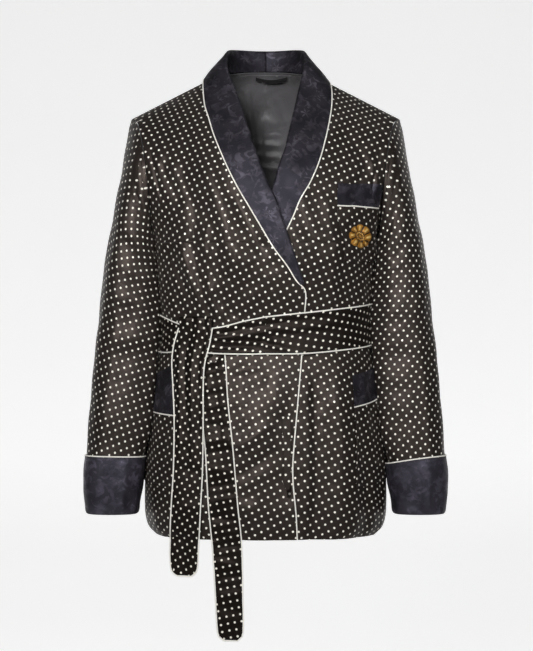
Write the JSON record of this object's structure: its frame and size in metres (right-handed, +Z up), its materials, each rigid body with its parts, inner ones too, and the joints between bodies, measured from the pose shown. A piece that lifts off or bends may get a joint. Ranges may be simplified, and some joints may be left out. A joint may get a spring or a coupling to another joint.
{
  "type": "silk wrap coat",
  "caption": "Short silk wrap coat as worn: lapped fronts, shawl collar, turned-back cuffs, patch pockets, edging cord and a tie belt; hollow, open at neck, cuffs and hem.",
  "frame": {"origin": "middle of the neck, level with the tops of the shoulder seams, where the wearer carries the coat", "axes": "+X towards the wearer's left, +Y towards the back, +Z up"},
  "size_m": [0.5952, 0.3101, 0.9647],
  "materials": {
    "silk": "near-black silk satin with a regular lattice of small ivory dots",
    "jacquard": "dark purple-grey figured silk",
    "piping": "ivory satin-covered cord",
    "lining": "plain dark grey lining satin",
    "loop": "plain black tape",
    "gold": "gold embroidery thread"
  },
  "bodies": {
    "root": {"front_right": "silk", "front_left": "silk", "back": "silk", "sleeve_right": "silk", "sleeve_left": "silk", "cuff_right": "jacquard", "piping_cuff_right": "piping", "cuff_left": "jacquard", "piping_cuff_left": "piping", "collar_right": "jacquard", "piping_front_right": "piping", "collar_left": "jacquard", "piping_front_left": "piping", "pocket_chest": "silk", "band_chest": "jacquard", "piping_pocket_chest": "piping", "pocket_hip_left": "silk", "band_hip_left": "jacquard", "piping_pocket_hip_left": "piping", "pocket_hip_right": "silk", "band_hip_right": "jacquard", "piping_pocket_hip_right": "piping", "rosette": "gold", "belt_band": "silk", "piping_belt_upper": "piping", "piping_belt_lower": "piping", "belt_tail_front": "silk", "piping_tail_front": "piping", "belt_tail_back": "silk", "piping_tail_back": "piping", "lining_back": "lining", "hanger_loop": "loop"}
  },
  "joints": []
}
